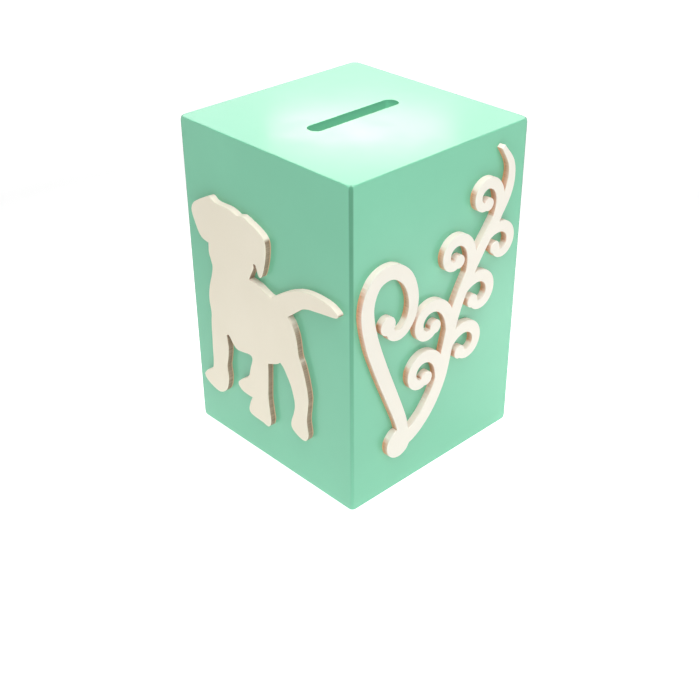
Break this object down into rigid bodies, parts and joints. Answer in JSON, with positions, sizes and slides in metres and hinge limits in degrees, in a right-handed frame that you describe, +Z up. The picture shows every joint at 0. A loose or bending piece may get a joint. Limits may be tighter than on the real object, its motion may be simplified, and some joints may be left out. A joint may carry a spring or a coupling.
{
  "type": "wooden money box",
  "caption": "Tall square wooden money box with a coin slot in the top, a pull-out rubber stopper in the base, and a puppy and a scroll decoration on two sides.",
  "frame": {"origin": "centre of the bottom of the whole object's box, decorations included, on the surface it stands on", "axes": "+Z up, +X along the coin slot towards the right-hand side of the front, +Y from the front with the scroll to the back; the puppy is on the -X side"},
  "size_m": [0.103, 0.1046, 0.1485],
  "materials": {
    "mint_paint": "satin mint green paint over wood",
    "bare_wood": "unpainted sanded wood",
    "cream_paint": "matte cream paint on laser-cut sheet, edges left as cut",
    "ivory_paint": "matte ivory paint on laser-cut sheet, edges left as cut",
    "stopper_rubber": "black moulded rubber",
    "pin_steel": "bright steel panel pins"
  },
  "bodies": {
    "box": {"front_panel": "mint_paint", "back_panel": "mint_paint", "left_panel": "mint_paint", "right_panel": "mint_paint", "top_panel": "mint_paint", "base_panel": "bare_wood", "puppy_cutout": "cream_paint", "scroll_cutout": "ivory_paint", "pin_back_left_high": "pin_steel", "pin_back_left_low": "pin_steel", "pin_back_left_middle": "pin_steel", "pin_back_right_high": "pin_steel", "pin_back_right_low": "pin_steel", "pin_back_right_middle": "pin_steel", "pin_base_left_back": "pin_steel", "pin_base_left_front": "pin_steel", "pin_base_right_back": "pin_steel", "pin_base_right_front": "pin_steel", "pin_front_left_high": "pin_steel", "pin_front_left_low": "pin_steel", "pin_front_left_middle": "pin_steel", "pin_front_right_high": "pin_steel", "pin_front_right_low": "pin_steel", "pin_front_right_middle": "pin_steel", "pin_top_back_left": "pin_steel", "pin_top_back_right": "pin_steel", "pin_top_front_left": "pin_steel", "pin_top_front_right": "pin_steel", "pin_top_left_back": "pin_steel", "pin_top_left_front": "pin_steel", "pin_top_right_back": "pin_steel", "pin_top_right_front": "pin_steel"},
    "stopper": {"base_stopper": "stopper_rubber"}
  },
  "joints": [
    {"name": "stopper_pull", "type": "slide", "parent": "box", "child": "stopper", "axis": [0, 0, -1], "range_m": [0, 0.04]}
  ]
}
